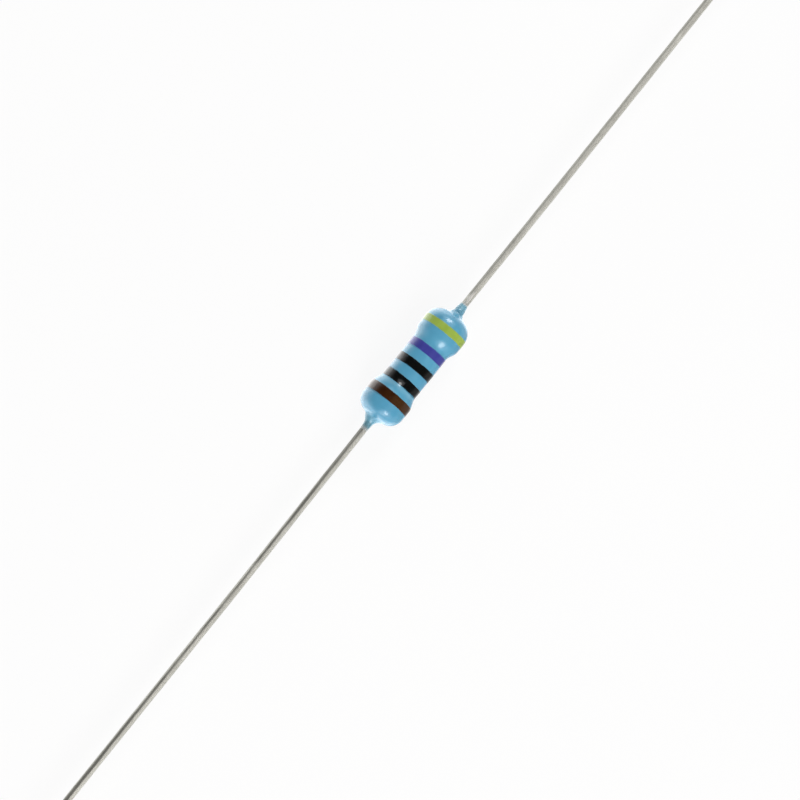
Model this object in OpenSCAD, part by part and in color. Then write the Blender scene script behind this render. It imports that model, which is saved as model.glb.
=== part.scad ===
// Axial metal-film resistor: a ceramic rod with a helically trimmed film, pressed end caps,
// butt-welded wire leads, a dipped lacquer coat and five painted rings. Millimetres.
// The X axis is the axis of the leads, and the middle of the ceramic rod is the origin.
// The rings are read from left to right, along +X.

/* [Ceramic core] */
// Diameter of the ceramic rod
core_dia = 1.7; // [1.4:0.05:2.2]
// Length of the ceramic rod
core_length = 5.7; // [4.8:0.1:8]

/* [Resistive film] */
// Thickness of the film, a solid stand-in for a layer far thinner than this
film_thickness = 0.02; // [0.015:0.005:0.04]
// Turns of the helical trim groove
trim_turns = 6; // [3:1:9]
// Width of the trim groove
trim_width = 0.1; // [0.05:0.01:0.15]
// Plain film between a cap's mouth and the nearest turn of the groove
trim_margin = 0.15; // [0.05:0.05:0.4]

/* [End caps] */
// Wall of the drawn cup around the rod
cap_wall = 0.18; // [0.12:0.01:0.24]
// Wall of the cup's flat end
cap_end_wall = 0.2; // [0.14:0.02:0.3]
// Length of rod gripped by a cap
cap_grip = 1.2; // [0.9:0.05:1.6]
// Outer rounding of the cup's drawn corner
cap_corner_r = 0.45; // [0.3:0.05:0.6]
// Bevel on the outer edge of the cup's mouth
cap_lip = 0.04; // [0.02:0.01:0.08]
// Extra rounding of the rod's edge, so that it clears the inside corner of the cup
seat_clearance = 0.03; // [0.02:0.01:0.08]

/* [Leads] */
// Diameter of the tinned wire
lead_dia = 0.36; // [0.3:0.02:0.5]
// Length of a lead from the rounded end of the body to its tip
lead_length = 28; // [12:0.5:38]
// Diameter of the upset weld where the wire meets the cap
weld_dia = 0.7; // [0.6:0.05:0.9]
// Height of the upset weld
weld_height = 0.1; // [0.05:0.01:0.14]
// Swelling of the wire's radius next to its weld, which dies out where the lacquer ends
weld_swell = 0.02; // [0.01:0.005:0.03]
// Bevel on the cut tip of a lead
tip_bevel = 0.04; // [0.02:0.01:0.1]

/* [Lacquer] */
// Thickness of the lacquer over the film
lacquer_on_core = 0.13; // [0.08:0.01:0.2]
// Thickness of the lacquer over the caps
lacquer_on_caps = 0.15; // [0.08:0.01:0.22]
// Share of the lacquer that draws back from the left cap's corner as it dries
left_corner_draw = 0.6; // [0.1:0.05:0.8]
// Share of the lacquer that draws back from the right cap's corner as it dries
right_corner_draw = 0.28; // [0.1:0.02:0.8]
// Length of the slope from the left cap down to the waist
left_shoulder_length = 0.68; // [0.5:0.02:0.9]
// Length of that slope that still lies on the left cap
left_shoulder_lap = 0.21; // [0.1:0.01:0.3]
// Length of the slope from the right cap down to the waist
right_shoulder_length = 0.82; // [0.5:0.02:0.9]
// Length of that slope that still lies on the right cap
right_shoulder_lap = 0.33; // [0.1:0.01:0.36]
// Radius of the meniscus between the left end and its lead
left_meniscus_r = 0.45; // [0.25:0.05:0.7]
// Radius of the meniscus between the right end and its lead
right_meniscus_r = 0.55; // [0.25:0.05:0.7]
// Thickness of the lacquer that wets the left lead past the meniscus
left_neck_coat = 0.055; // [0.03:0.005:0.08]
// Thickness of the lacquer that wets the right lead past the meniscus
right_neck_coat = 0.035; // [0.03:0.005:0.08]
// Share of that thickness that is lost along a neck
neck_thinning = 0.55; // [0.1:0.05:0.7]
// Length of the left neck, from the meniscus to where the lacquer runs out
left_neck_length = 0.2; // [0.05:0.01:0.6]
// Length of the right neck, from the meniscus to where the lacquer runs out
right_neck_length = 0.13; // [0.05:0.01:0.6]
// Length over which the lacquer runs out on the lead
neck_runout = 0.17; // [0.1:0.01:0.5]

/* [Painted rings] */
// Thickness of the paint
paint_thickness = 0.025; // [0.015:0.005:0.05]
// Length over which the paint rises at its edges
paint_edge = 0.04; // [0.02:0.01:0.08]
// Width of the first digit's ring
first_digit_width = 0.42; // [0.25:0.01:0.5]
// Distance from the left end of the body to the middle of the first digit's ring
first_digit_inset = 0.92; // [0.8:0.02:1.1]
// Width of the second digit's ring
second_digit_width = 0.46; // [0.25:0.01:0.6]
// Distance from the second digit's ring to the third
second_digit_pitch = 0.97; // [0.7:0.01:1.1]
// Width of the third digit's ring
third_digit_width = 0.48; // [0.25:0.01:0.6]
// Distance from the middle of the body to the middle of the third digit's ring, to the right
third_digit_offset = 0.04; // [-0.1:0.01:0.1]
// Width of the multiplier's ring
multiplier_width = 0.5; // [0.25:0.01:0.6]
// Distance from the third digit's ring to the multiplier's
multiplier_pitch = 1; // [0.7:0.01:1.1]
// Width of the tolerance ring
tolerance_width = 0.53; // [0.25:0.01:0.6]
// Distance from the right end of the body to the middle of the tolerance ring
tolerance_inset = 1.2; // [0.9:0.02:1.3]

/* [Hidden] */
$fn = 96;
arc_steps = 16;
slope_steps = 20;
film_steps = 36;

core_r = core_dia / 2;
core_half = core_length / 2;
film_r = core_r + film_thickness;
cap_r = film_r + cap_wall;
cap_inner_corner_r = cap_corner_r - cap_wall;
core_edge_r = cap_inner_corner_r + seat_clearance;
film_half = core_half - core_edge_r;
cap_mouth = core_half - cap_grip;
cap_end = core_half + cap_end_wall;
weld_r = weld_dia / 2;
lead_r = lead_dia / 2;
body_half = cap_end + lacquer_on_caps;
lead_tip = body_half + lead_length;
swollen_r = lead_r + weld_swell;

waist_r = film_r + lacquer_on_core;
coat_r = cap_r + lacquer_on_caps;
left_neck_r = lead_r + left_neck_coat;
right_neck_r = lead_r + right_neck_coat;

// A square corner stands this share of its radius further out than a round one
corner_share = sqrt(2) - 1;
left_dome_r = dome_r(left_corner_draw);
right_dome_r = dome_r(right_corner_draw);
left_shoulder = shoulder(left_shoulder_length, left_shoulder_lap);
right_shoulder = shoulder(right_shoulder_length, right_shoulder_lap);
coat_outline = concat(
    mirrored(coat_outside(left_shoulder, left_dome_r, left_meniscus_r, left_neck_r, left_neck_length)),
    coat_outside(right_shoulder, right_dome_r, right_meniscus_r, right_neck_r, right_neck_length)
);
covered_outline = concat(mirrored(coat_inside()), coat_inside());
left_bare_x = neck_end(left_dome_r, left_meniscus_r, left_neck_r, left_neck_length);
right_bare_x = neck_end(right_dome_r, right_meniscus_r, right_neck_r, right_neck_length);

trim_half = cap_mouth - trim_margin - trim_width / 2;
trim_pitch = 2 * trim_half / trim_turns;

first_digit_x = -body_half + first_digit_inset;
second_digit_x = third_digit_offset - second_digit_pitch;
multiplier_x = third_digit_offset + multiplier_pitch;
tolerance_x = body_half - tolerance_inset;

// Outlines are lists of [x, radius], from the middle of the body outwards

function arc(x, r, radius, from, to) =
    [for (i = [0:arc_steps])
        let (angle = from + (to - from) * i / arc_steps)
        [x + radius * cos(angle), r + radius * sin(angle)]];

function backwards(points) = [for (i = [len(points) - 1:-1:0]) points[i]];

function after_first(points) = [for (i = [1:len(points) - 1]) points[i]];

function mirrored(points) = [for (p = backwards(points)) [-p[0], p[1]]];

// The dome over a cap's corner is rounder than the cap, the more so as lacquer draws back from it
function dome_r(corner_draw) = cap_corner_r + lacquer_on_caps * (1 + corner_draw / corner_share);

// How far the middle of the meniscus arc lies outside the middle of the dome arc
function meniscus_rise(dome, meniscus, neck_r) = neck_r + meniscus - coat_r + dome;

// Where the meniscus, tangent to the dome and to the wetted lead, comes down to the lead
function meniscus_x(dome, meniscus, neck_r) =
    body_half - dome + sqrt(pow(dome + meniscus, 2) - pow(meniscus_rise(dome, meniscus, neck_r), 2));

// Where the lacquer ends and the bare lead starts
function neck_end(dome, meniscus, neck_r, neck) =
    meniscus_x(dome, meniscus, neck_r) + neck + neck_runout;

// The slope from the waist up to a cap
function shoulder(length, lap) =
    [for (i = [0:slope_steps])
        [cap_mouth + lap - length + length * i / slope_steps,
         waist_r + (coat_r - waist_r) * (1 - cos(180 * i / slope_steps)) / 2]];

function runout(x, tail_coat) =
    [for (i = [0:arc_steps])
        let (angle = 90 * i / arc_steps)
        [x + neck_runout * sin(angle), lead_r + tail_coat * cos(angle)]];

// The outside of the lacquer on one half of the body, from the waist to where it ends on the lead
function coat_outside(slope, dome, meniscus, neck_r, neck) =
    let (
        neck_x = meniscus_x(dome, meniscus, neck_r),
        touch = asin(meniscus_rise(dome, meniscus, neck_r) / (dome + meniscus))
    )
    concat(
        slope,
        arc(body_half - dome, coat_r - dome, dome, 90, touch),
        after_first(arc(neck_x, neck_r + meniscus, meniscus, 180 + touch, 270)),
        runout(neck_x + neck, (neck_r - lead_r) * (1 - neck_thinning))
    );

// The outside of a cap, from the outer edge of its mouth to the edge of its flat end
function cap_outside() =
    concat(
        [[cap_mouth, cap_r - cap_lip], [cap_mouth + cap_lip, cap_r]],
        arc(cap_end - cap_corner_r, cap_r - cap_corner_r, cap_corner_r, 90, 0)
    );

// The inside of a cap, from its mouth to the edge of its flat seat
function cap_inside() =
    concat(
        [[cap_mouth, film_r]],
        arc(core_half - cap_inner_corner_r, film_r - cap_inner_corner_r, cap_inner_corner_r, 90, 0)
    );

// What the lacquer covers on one half of the body: film, cap and the weld of the lead
function coat_inside() =
    concat(
        [[cap_mouth, film_r]],
        cap_outside(),
        [[cap_end, weld_r], [cap_end + weld_height, swollen_r]]
    );

// A solid of revolution about X from an outline of [x, radius]
module turned(outline) {
    rotate([0, 90, 0])
        rotate_extrude()
            polygon([for (p = outline) [p[1], p[0]]]);
}

module ceramic_core() {
    end_edge = arc(film_half, core_r - core_edge_r, core_edge_r, 90, 0);
    color("ivory")
        turned(concat([[-core_half, 0]], mirrored(end_edge), end_edge, [[core_half, 0]]));
}

// The film is one strip that leaves a sleeve under the left cap, follows the helix for the turns
// of the groove and joins a sleeve under the right cap. A row across the strip, one for each step
// of angle, has four points: the left edge inside and outside, the right edge outside and inside.
// The facets touch the rod from outside and the caps from inside.
module resistive_film() {
    inner_r = core_r / cos(180 / film_steps);
    sleeve_row = film_steps;
    groove_end_row = film_steps * trim_turns;
    last_row = groove_end_row + film_steps;

    function groove_x(row) = -trim_half + trim_pitch * row / film_steps;
    function left_x(row) =
        row < sleeve_row ? -film_half : groove_x(row - film_steps) + trim_width / 2;
    function right_x(row) =
        row > groove_end_row ? film_half : groove_x(row) - trim_width / 2;
    function at(row, x, r) =
        let (angle = 360 * row / film_steps)
        [x, r * cos(angle), r * sin(angle)];
    function inside(row) = [4 * row, 4 * row + 3];
    function outside(row) = [4 * row + 1, 4 * row + 2];
    // Triangles that share the last point of a face, or its first one
    function fan(face, from_last = false) =
        let (apex = from_last ? len(face) - 1 : 0, first = from_last ? 0 : 1)
        [for (i = [first:first + len(face) - 3]) [face[apex], face[i], face[i + 1]]];

    points = [for (row = [0:last_row]) each [
        at(row, left_x(row), inner_r),
        at(row, left_x(row), film_r),
        at(row, right_x(row), film_r),
        at(row, right_x(row), inner_r)
    ]];
    // The left sleeve closes on its own first row, and the right one on its last
    inside_before = [for (row = [1:last_row])
        row == sleeve_row ? concat(inside(0), inside(row)) : inside(row)];
    outside_before = [for (row = [1:last_row])
        row == sleeve_row ? concat(outside(0), outside(row)) : outside(row)];
    inside_after = [for (row = [0:last_row - 1])
        row == groove_end_row ? concat(inside(row), inside(last_row)) : inside(row)];
    outside_after = [for (row = [0:last_row - 1])
        row == groove_end_row ? concat(outside(row), outside(last_row)) : outside(row)];
    stretches = [for (i = [0:last_row - 1])
        let (
            in_from = inside_after[i],
            out_from = outside_after[i],
            in_to = inside_before[i],
            out_to = outside_before[i],
            right_from = len(in_from) - 1,
            right_to = len(in_to) - 1
        )
        each concat(
            fan(concat(out_from, backwards(out_to)), right_from > 1),
            fan(concat(in_to, backwards(in_from)), right_to > 1),
            fan([in_from[0], out_from[0], out_to[0], in_to[0]]),
            fan([in_to[right_to], out_to[right_to], out_from[right_from], in_from[right_from]])
        )];
    groove_start = fan([
        inside(0)[1], outside(0)[1], outside(sleeve_row)[0], inside(sleeve_row)[0]
    ]);
    groove_end = fan([
        inside(groove_end_row)[1], inside(last_row)[0], outside(last_row)[0], outside(groove_end_row)[1]
    ]);
    color("dimgray")
        polyhedron(points, concat(stretches, groove_start, groove_end), convexity = 8);
}

module end_cap() {
    color("silver")
        turned(concat(
            [[core_half, 0]],
            backwards(cap_inside()),
            cap_outside(),
            [[cap_end, 0]]
        ));
}

module left_end_cap() {
    mirror([1, 0, 0])
        end_cap();
}

module right_end_cap() {
    end_cap();
}

// A lead, welded to its cap and bare from one place on
module lead(bare_x) {
    color("gainsboro")
        turned([
            [cap_end, 0],
            [cap_end, weld_r],
            [cap_end + weld_height, swollen_r],
            [bare_x, lead_r],
            [lead_tip - tip_bevel, lead_r],
            [lead_tip, lead_r - tip_bevel],
            [lead_tip, 0]
        ]);
}

module left_lead() {
    mirror([1, 0, 0])
        lead(left_bare_x);
}

module right_lead() {
    lead(right_bare_x);
}

module lacquer_coat() {
    color([0.36, 0.62, 0.75])
        turned(concat(coat_outline, backwards(covered_outline)));
}

// A ring of paint that follows the lacquer under it and rises at both edges
module painted_ring(middle, width, paint) {
    function under(from, to) = concat(
        [[from, lookup(from, coat_outline)]],
        [for (p = coat_outline) if (p[0] > from && p[0] < to) p],
        [[to, lookup(to, coat_outline)]]
    );
    left = middle - width / 2;
    right = middle + width / 2;
    over = [for (p = under(left + paint_edge, right - paint_edge)) [p[0], p[1] + paint_thickness]];
    color(paint)
        turned(concat(under(left, right), backwards(over)));
}

module first_digit_band() {
    painted_ring(first_digit_x, first_digit_width, [0.6, 0.69, 0.3]);
}

module second_digit_band() {
    painted_ring(second_digit_x, second_digit_width, [0.25, 0.25, 0.57]);
}

module third_digit_band() {
    painted_ring(third_digit_offset, third_digit_width, [0.06, 0.07, 0.06]);
}

module multiplier_band() {
    painted_ring(multiplier_x, multiplier_width, [0.06, 0.07, 0.06]);
}

module tolerance_band() {
    painted_ring(tolerance_x, tolerance_width, [0.22, 0.13, 0.05]);
}

ceramic_core();
resistive_film();
left_end_cap();
right_end_cap();
left_lead();
right_lead();
lacquer_coat();
first_digit_band();
second_digit_band();
third_digit_band();
multiplier_band();
tolerance_band();
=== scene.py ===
"""Axial metal-film resistor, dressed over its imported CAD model.

Lengths are metres. X runs along the leads in the direction that the rings are read, Z is up,
and the camera looks down on the part. Angles round the leads start at +Y and turn towards +Z.
"""

import logging
import math
from dataclasses import dataclass
from enum import Enum

import bpy
import numpy as np
from mathutils import Matrix, Vector


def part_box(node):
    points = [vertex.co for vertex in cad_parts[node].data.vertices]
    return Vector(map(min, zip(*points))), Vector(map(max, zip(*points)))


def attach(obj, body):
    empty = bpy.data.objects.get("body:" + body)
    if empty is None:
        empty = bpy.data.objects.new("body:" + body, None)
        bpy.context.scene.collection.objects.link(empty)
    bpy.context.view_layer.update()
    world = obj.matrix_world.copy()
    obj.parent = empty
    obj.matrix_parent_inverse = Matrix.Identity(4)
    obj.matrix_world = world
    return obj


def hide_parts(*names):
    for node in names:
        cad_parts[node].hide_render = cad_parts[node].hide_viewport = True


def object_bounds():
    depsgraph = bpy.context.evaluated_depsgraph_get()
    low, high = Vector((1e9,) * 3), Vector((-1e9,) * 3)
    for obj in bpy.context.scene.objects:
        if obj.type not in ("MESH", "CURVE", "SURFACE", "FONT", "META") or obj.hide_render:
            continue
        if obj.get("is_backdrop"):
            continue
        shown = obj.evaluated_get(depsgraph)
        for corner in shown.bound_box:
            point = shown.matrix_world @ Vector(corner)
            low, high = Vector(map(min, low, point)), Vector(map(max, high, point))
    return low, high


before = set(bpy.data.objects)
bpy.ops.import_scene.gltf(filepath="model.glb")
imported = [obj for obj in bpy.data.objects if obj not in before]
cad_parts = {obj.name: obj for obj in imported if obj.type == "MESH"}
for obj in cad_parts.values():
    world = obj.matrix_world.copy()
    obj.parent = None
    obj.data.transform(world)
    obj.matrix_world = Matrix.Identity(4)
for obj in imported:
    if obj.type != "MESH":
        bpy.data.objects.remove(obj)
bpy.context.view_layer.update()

Colour = tuple[float, float, float]
Span = tuple[float, float]
Source = bpy.types.NodeSocket | float | tuple[float, ...]

MM = 0.001
MICRON = 1e-6
BODY = "root"
WHITE: Colour = (1.0, 1.0, 1.0)
LACQUER_BLUE: Colour = (0.098, 0.349, 0.52)
# Places along X that agree to this many decimals count as one.
DECIMALS = 8
# Distances from the middle of the part where the set of a neck starts and is full.
NECK_SET: Span = (3.15 * MM, 3.45 * MM)
# Where the card beside the body starts and stops along X, and its full brightness.
CARD_REACH: Span = (-50.0 * MM, 50.0 * MM)
SIDE_RADIANCE = 2.6

log = logging.getLogger("resistor")


class End(Enum):
    """The two ends of the part. The left one is at -X."""

    LEFT = "left"
    RIGHT = "right"


class Light(Enum):
    """The lamps and bright cards of the studio."""

    ALONG = "lamp_along_the_leads"
    ACROSS = "lamp_across_the_leads"
    ALONG_GLOW = "glow_round_the_lamp_along"
    ACROSS_GLOW = "glow_round_the_lamp_across"
    END = "lamp_past_the_right_end"
    FILL = "fill_card"
    SIDE_CARD = "floor_card_beside_the_body"
    LEFT_CARD = "floor_card_past_the_left_end"
    RIGHT_CARD = "floor_card_past_the_right_end"


class LampShape(Enum):
    """The shapes of a lamp's face."""

    RECTANGLE = "RECTANGLE"
    ELLIPSE = "ELLIPSE"

    @property
    def filled(self) -> float:
        """Share of its width times its height that the face fills."""
        return 0.25 * math.pi if self is LampShape.ELLIPSE else 1.0


class Socket(Enum):
    """The kinds of socket that the effects have."""

    VALUE = "NodeSocketFloat"
    COLOUR = "NodeSocketColor"


@dataclass(frozen=True)
class Ripple:
    """A slow wave on a turned surface.

    Attributes:
        height: Height of the wave.
        turns: Number of waves round the axis.
        pitch: Length of a wave along the axis.
        phase: Where the wave starts, in radians.
    """

    height: float
    turns: int
    pitch: float
    phase: float

    def at(self, x: np.ndarray, angle: np.ndarray) -> np.ndarray:
        """Give the height of the wave at places on the surface."""
        return self.height * np.cos(self.turns * angle + math.tau * x / self.pitch + self.phase)


@dataclass(frozen=True)
class Swelling:
    """A soft swelling or dip all round a turned surface.

    Attributes:
        place: Where it is along X.
        length: Its half length.
        rise: How far it stands out.
        lean: How far it pulls the surface to +Y.
    """

    place: float
    length: float
    rise: float
    lean: float = 0.0

    def share(self, x: np.ndarray) -> np.ndarray:
        """Give its strength at places along X, from 0 to 1."""
        return np.exp(-(((x - self.place) / self.length) ** 2))


@dataclass(frozen=True)
class Drip:
    """A small lump or hollow on a turned surface.

    Attributes:
        place: Where it is along X.
        angle: Where it is round the axis.
        rise: How far it stands out.
        length: Its half length along X.
        width: Its half width round the axis.
    """

    place: float
    angle: float
    rise: float
    length: float
    width: float

    def at(self, x: np.ndarray, angle: np.ndarray, radius: np.ndarray) -> np.ndarray:
        """Give its height at places on a surface of some radius."""
        along, around = (x - self.place) / self.length, radius * (angle - self.angle) / self.width
        return self.rise * np.exp(-(along**2) - around**2)


def smooth_step(value: np.ndarray, low: float, high: float) -> np.ndarray:
    """Rise smoothly from 0 at low to 1 at high."""
    share = np.clip((value - low) / (high - low), 0.0, 1.0)
    return share * share * (3.0 - 2.0 * share)


def neck_share(out: np.ndarray) -> np.ndarray:
    """Give the share of a neck's set at distances from the middle of the part, from 0 to 1."""
    return smooth_step(out, *NECK_SET)


def spin(sides: int) -> np.ndarray:
    """Give the angles of the corners round the axis."""
    return np.arange(sides) * math.tau / sides


def turned(x: np.ndarray, radius: np.ndarray, angle: np.ndarray, y: np.ndarray | float = 0.0,
           z: np.ndarray | float = 0.0) -> np.ndarray:
    """Give points of a turned surface.

    Args:
        x: Places along the axis.
        radius: Radius at those places.
        angle: Places round the axis.
        y: How far the surface stands to +Y.
        z: How far it stands to +Z.

    Returns:
        The points, with a last axis of three coordinates.
    """
    rows = np.broadcast_arrays(x, radius * np.cos(angle) + y, radius * np.sin(angle) + z)
    return np.stack(rows, axis=-1)


@dataclass(frozen=True)
class Outline:
    """The outside of a turned CAD solid, as its radius over x."""

    xs: np.ndarray
    radii: np.ndarray

    @classmethod
    def of_node(cls, name: str) -> "Outline":
        """Read the outside of a CAD node from its mesh.

        Args:
            name: Name of a node that is a solid of revolution about X.

        Returns:
            The outline, with one radius for each x.
        """
        outward_share = 0.02
        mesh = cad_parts[name].data
        outside: set[int] = set()
        for face in mesh.polygons:
            spoke = Vector((0.0, face.center.y, face.center.z)).normalized()
            if face.normal.dot(spoke) > outward_share:
                outside.update(face.vertices)
        points = np.array([mesh.vertices[i].co for i in sorted(outside)])
        xs = np.round(points[:, 0], DECIMALS)
        radii = np.hypot(points[:, 1], points[:, 2])
        stations = np.unique(xs)
        return cls(stations, np.array([radii[xs == x].max() for x in stations]))

    def radius(self, x: np.ndarray) -> np.ndarray:
        """Give the radius at places along the axis."""
        return np.interp(x, self.xs, self.radii)


def put_in_scene(name: str, data: bpy.types.ID) -> bpy.types.Object:
    """Put a new object in the scene.

    Args:
        name: Name of the object.
        data: Its mesh, lamp or camera.

    Returns:
        The new object.
    """
    thing = bpy.data.objects.new(name, data)
    bpy.context.scene.collection.objects.link(thing)
    return thing


def skin_grid(name: str, rows: np.ndarray, closed: bool) -> bpy.types.Object:
    """Skin a grid of points whose rows run round the axis, with outward faces.

    Args:
        name: Name of the new piece.
        rows: Points by row, corner and coordinate. The rows of an outside go towards +X.
        closed: Whether the last row joins the first. Otherwise each end gets a flat face.

    Returns:
        The new piece, shaded smooth apart from its sharp edges.
    """
    sharp_angle = math.radians(38.0)
    count, sides, _ = rows.shape
    here = np.arange(count if closed else count - 1)[:, None]
    there = (here + 1) % count
    corner = np.arange(sides)[None, :]
    following = (corner + 1) % sides
    corners = ((here, corner), (here, following), (there, following), (there, corner))
    quads = np.stack([row * sides + column for row, column in corners], axis=-1)
    faces: list[list[int]] = quads.reshape(-1, 4).tolist()
    if not closed:
        faces.append(list(range(sides))[::-1])
        faces.append(list(range((count - 1) * sides, count * sides)))
    mesh = bpy.data.meshes.new(name)
    mesh.from_pydata(rows.reshape(-1, 3).tolist(), [], faces)
    mesh.validate()
    mesh.shade_smooth()
    mesh.set_sharp_from_angle(angle=sharp_angle)
    return put_in_scene(name, mesh)


def hand_over(piece: bpy.types.Object, node: str, material: bpy.types.Material) -> None:
    """Put a piece in the place of its CAD node and report it.

    Args:
        piece: The new piece.
        node: The CAD node that it stands for.
        material: Its finish.
    """
    piece.data.materials.append(material)
    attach(piece, BODY)
    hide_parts(node)
    log.info("%s: %d faces, for %s", piece.name, len(piece.data.polygons), node)


class ShaderTree:
    """Adds nodes to one shader tree and joins them.

    Attributes:
        MIX_INPUTS: Places of the share and the two colours among a Mix node's inputs.
        MIX_RESULT: Place of the mixed colour among its outputs.
    """

    MIX_INPUTS = (0, 6, 7)
    MIX_RESULT = 2

    def __init__(self, tree: bpy.types.NodeTree) -> None:
        """Work on one tree."""
        self.tree = tree

    def add(self, kind: str, **settings: object) -> bpy.types.Node:
        """Add a node.

        Args:
            kind: The node's type.
            settings: Properties of the node by name.

        Returns:
            The new node.
        """
        node = self.tree.nodes.new(kind)
        for key, value in settings.items():
            setattr(node, key, value)
        return node

    def feed(self, socket: bpy.types.NodeSocket, source: Source) -> None:
        """Link an output to an input, or set the input to a value.

        Args:
            socket: The input.
            source: The output, number, vector or colour.
        """
        if isinstance(source, bpy.types.NodeSocket):
            self.tree.links.new(source, socket)
        elif socket.type == "RGBA":
            socket.default_value = (*source, 1.0)
        else:
            socket.default_value = source

    def run(self, kind: str, given: dict[int | str, Source], result: int | str = 0,
            **settings: object) -> bpy.types.NodeSocket:
        """Add a node and feed it.

        Args:
            kind: The node's type.
            given: What each of its inputs gets.
            result: Which output to give.
            settings: Properties of the node by name.

        Returns:
            The output.
        """
        node = self.add(kind, **settings)
        for key, source in given.items():
            self.feed(node.inputs[key], source)
        return node.outputs[result]

    def use(self, group: bpy.types.NodeTree, **values: Source) -> bpy.types.NodeOutputs:
        """Place a node group.

        Args:
            group: The group.
            values: Its inputs, with _ for the spaces in their names.

        Returns:
            The outputs of the group's node.
        """
        node = self.add("ShaderNodeGroup", node_tree=group)
        for key, source in values.items():
            self.feed(node.inputs[key.replace("_", " ")], source)
        return node.outputs

    def math(self, operation: str, first: Source, second: Source = 0.0) -> bpy.types.NodeSocket:
        """Join two numbers by a Math node."""
        return self.run("ShaderNodeMath", {0: first, 1: second}, operation=operation)

    def span(self, value: Source, edges: tuple[Source, Source],
             ends: tuple[Source, Source] = (0.0, 1.0)) -> bpy.types.NodeSocket:
        """Take a value smoothly from the range between two edges to the range between two ends."""
        given = dict(enumerate((value, *edges, *ends)))
        return self.run("ShaderNodeMapRange", given, interpolation_type="SMOOTHSTEP")

    def band(self, value: Source, place: float, half: float) -> bpy.types.NodeSocket:
        """Rise smoothly to 1 where a value meets a place, from 0 at half the band's width."""
        away = self.math("ABSOLUTE", self.math("SUBTRACT", value, place))
        return self.span(away, (half, 0.0))

    def blend(self, share: Source, first: Source, second: Source) -> bpy.types.NodeSocket:
        """Mix two colours by a share of the second."""
        given = dict(zip(self.MIX_INPUTS, (share, first, second)))
        return self.run("ShaderNodeMix", given, self.MIX_RESULT, data_type="RGBA")

    def mix_shaders(self, share: Source, first: Source, second: Source) -> bpy.types.NodeSocket:
        """Mix two shaders by a share of the second."""
        return self.run("ShaderNodeMixShader", {0: share, 1: first, 2: second})

    def place(self, stretch: tuple[float, float, float] = (1.0, 1.0, 1.0)) -> bpy.types.NodeSocket:
        """Give the place on the part, stretched along each axis."""
        here = self.add("ShaderNodeTexCoord").outputs["Object"]
        return self.run("ShaderNodeVectorMath", {0: here, 1: stretch}, operation="MULTIPLY")

    def along(self, axis: str = "X") -> bpy.types.NodeSocket:
        """Give the place along the leads, or along another axis."""
        here = self.add("ShaderNodeTexCoord").outputs["Object"]
        return self.run("ShaderNodeSeparateXYZ", {0: here}, axis)

    def noise(self, place: Source, scale: Source, detail: float) -> bpy.types.NodeSocket:
        """Give soft noise from 0 to 1."""
        return self.run("ShaderNodeTexNoise", {"Vector": place, "Scale": scale, "Detail": detail})

    def specks(self, place: Source, scale: Source) -> bpy.types.NodeSocket:
        """Give the distance to the nearest of many scattered points."""
        return self.run("ShaderNodeTexVoronoi", {"Vector": place, "Scale": scale}, "Distance")

    def bump(self, height: Source, rise: float) -> bpy.types.NodeSocket:
        """Turn a height from 0 to 1 into a normal, where 1 stands for the rise."""
        return self.run("ShaderNodeBump", {"Strength": 1.0, "Distance": rise, "Height": height})


class MaterialTree(ShaderTree):
    """The shader tree of a new material."""

    def __init__(self, name: str) -> None:
        """Make the material with its Principled shader.

        Args:
            name: Name of the material.
        """
        self.material = bpy.data.materials.new(name)
        self.material.use_nodes = True
        super().__init__(self.material.node_tree)
        self.shader = self.tree.nodes["Principled BSDF"]

    def surface(self, **inputs: Source) -> bpy.types.Material:
        """Feed the shader.

        Args:
            inputs: Its inputs, with _ for the spaces in their names.

        Returns:
            The material.
        """
        for key, source in inputs.items():
            self.feed(self.shader.inputs[key.replace("_", " ")], source)
        return self.material


class EffectGroup(ShaderTree):
    """A shader node group for an effect that several finishes share."""

    def __init__(self, name: str, inputs: dict[str, float | Colour], outputs: dict[str, Socket]) -> None:
        """Make the group with its sockets.

        Args:
            name: Name of the group.
            inputs: Default value of each input; a colour where it is a triple.
            outputs: Kind of each output.
        """
        super().__init__(bpy.data.node_groups.new(name, "ShaderNodeTree"))
        face = self.tree.interface
        for key, value in inputs.items():
            kind = Socket.COLOUR if isinstance(value, tuple) else Socket.VALUE
            socket = face.new_socket(name=key, in_out="INPUT", socket_type=kind.value)
            socket.default_value = (*value, 1.0) if isinstance(value, tuple) else value
        for key, kind in outputs.items():
            face.new_socket(name=key, in_out="OUTPUT", socket_type=kind.value)
        self.given = self.add("NodeGroupInput").outputs
        self.result = self.add("NodeGroupOutput").inputs

    def put_out(self, **results: Source) -> bpy.types.NodeTree:
        """Feed the group's outputs.

        Args:
            results: What each output gets.

        Returns:
            The finished group.
        """
        for key, source in results.items():
            self.feed(self.result[key], source)
        return self.tree


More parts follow.
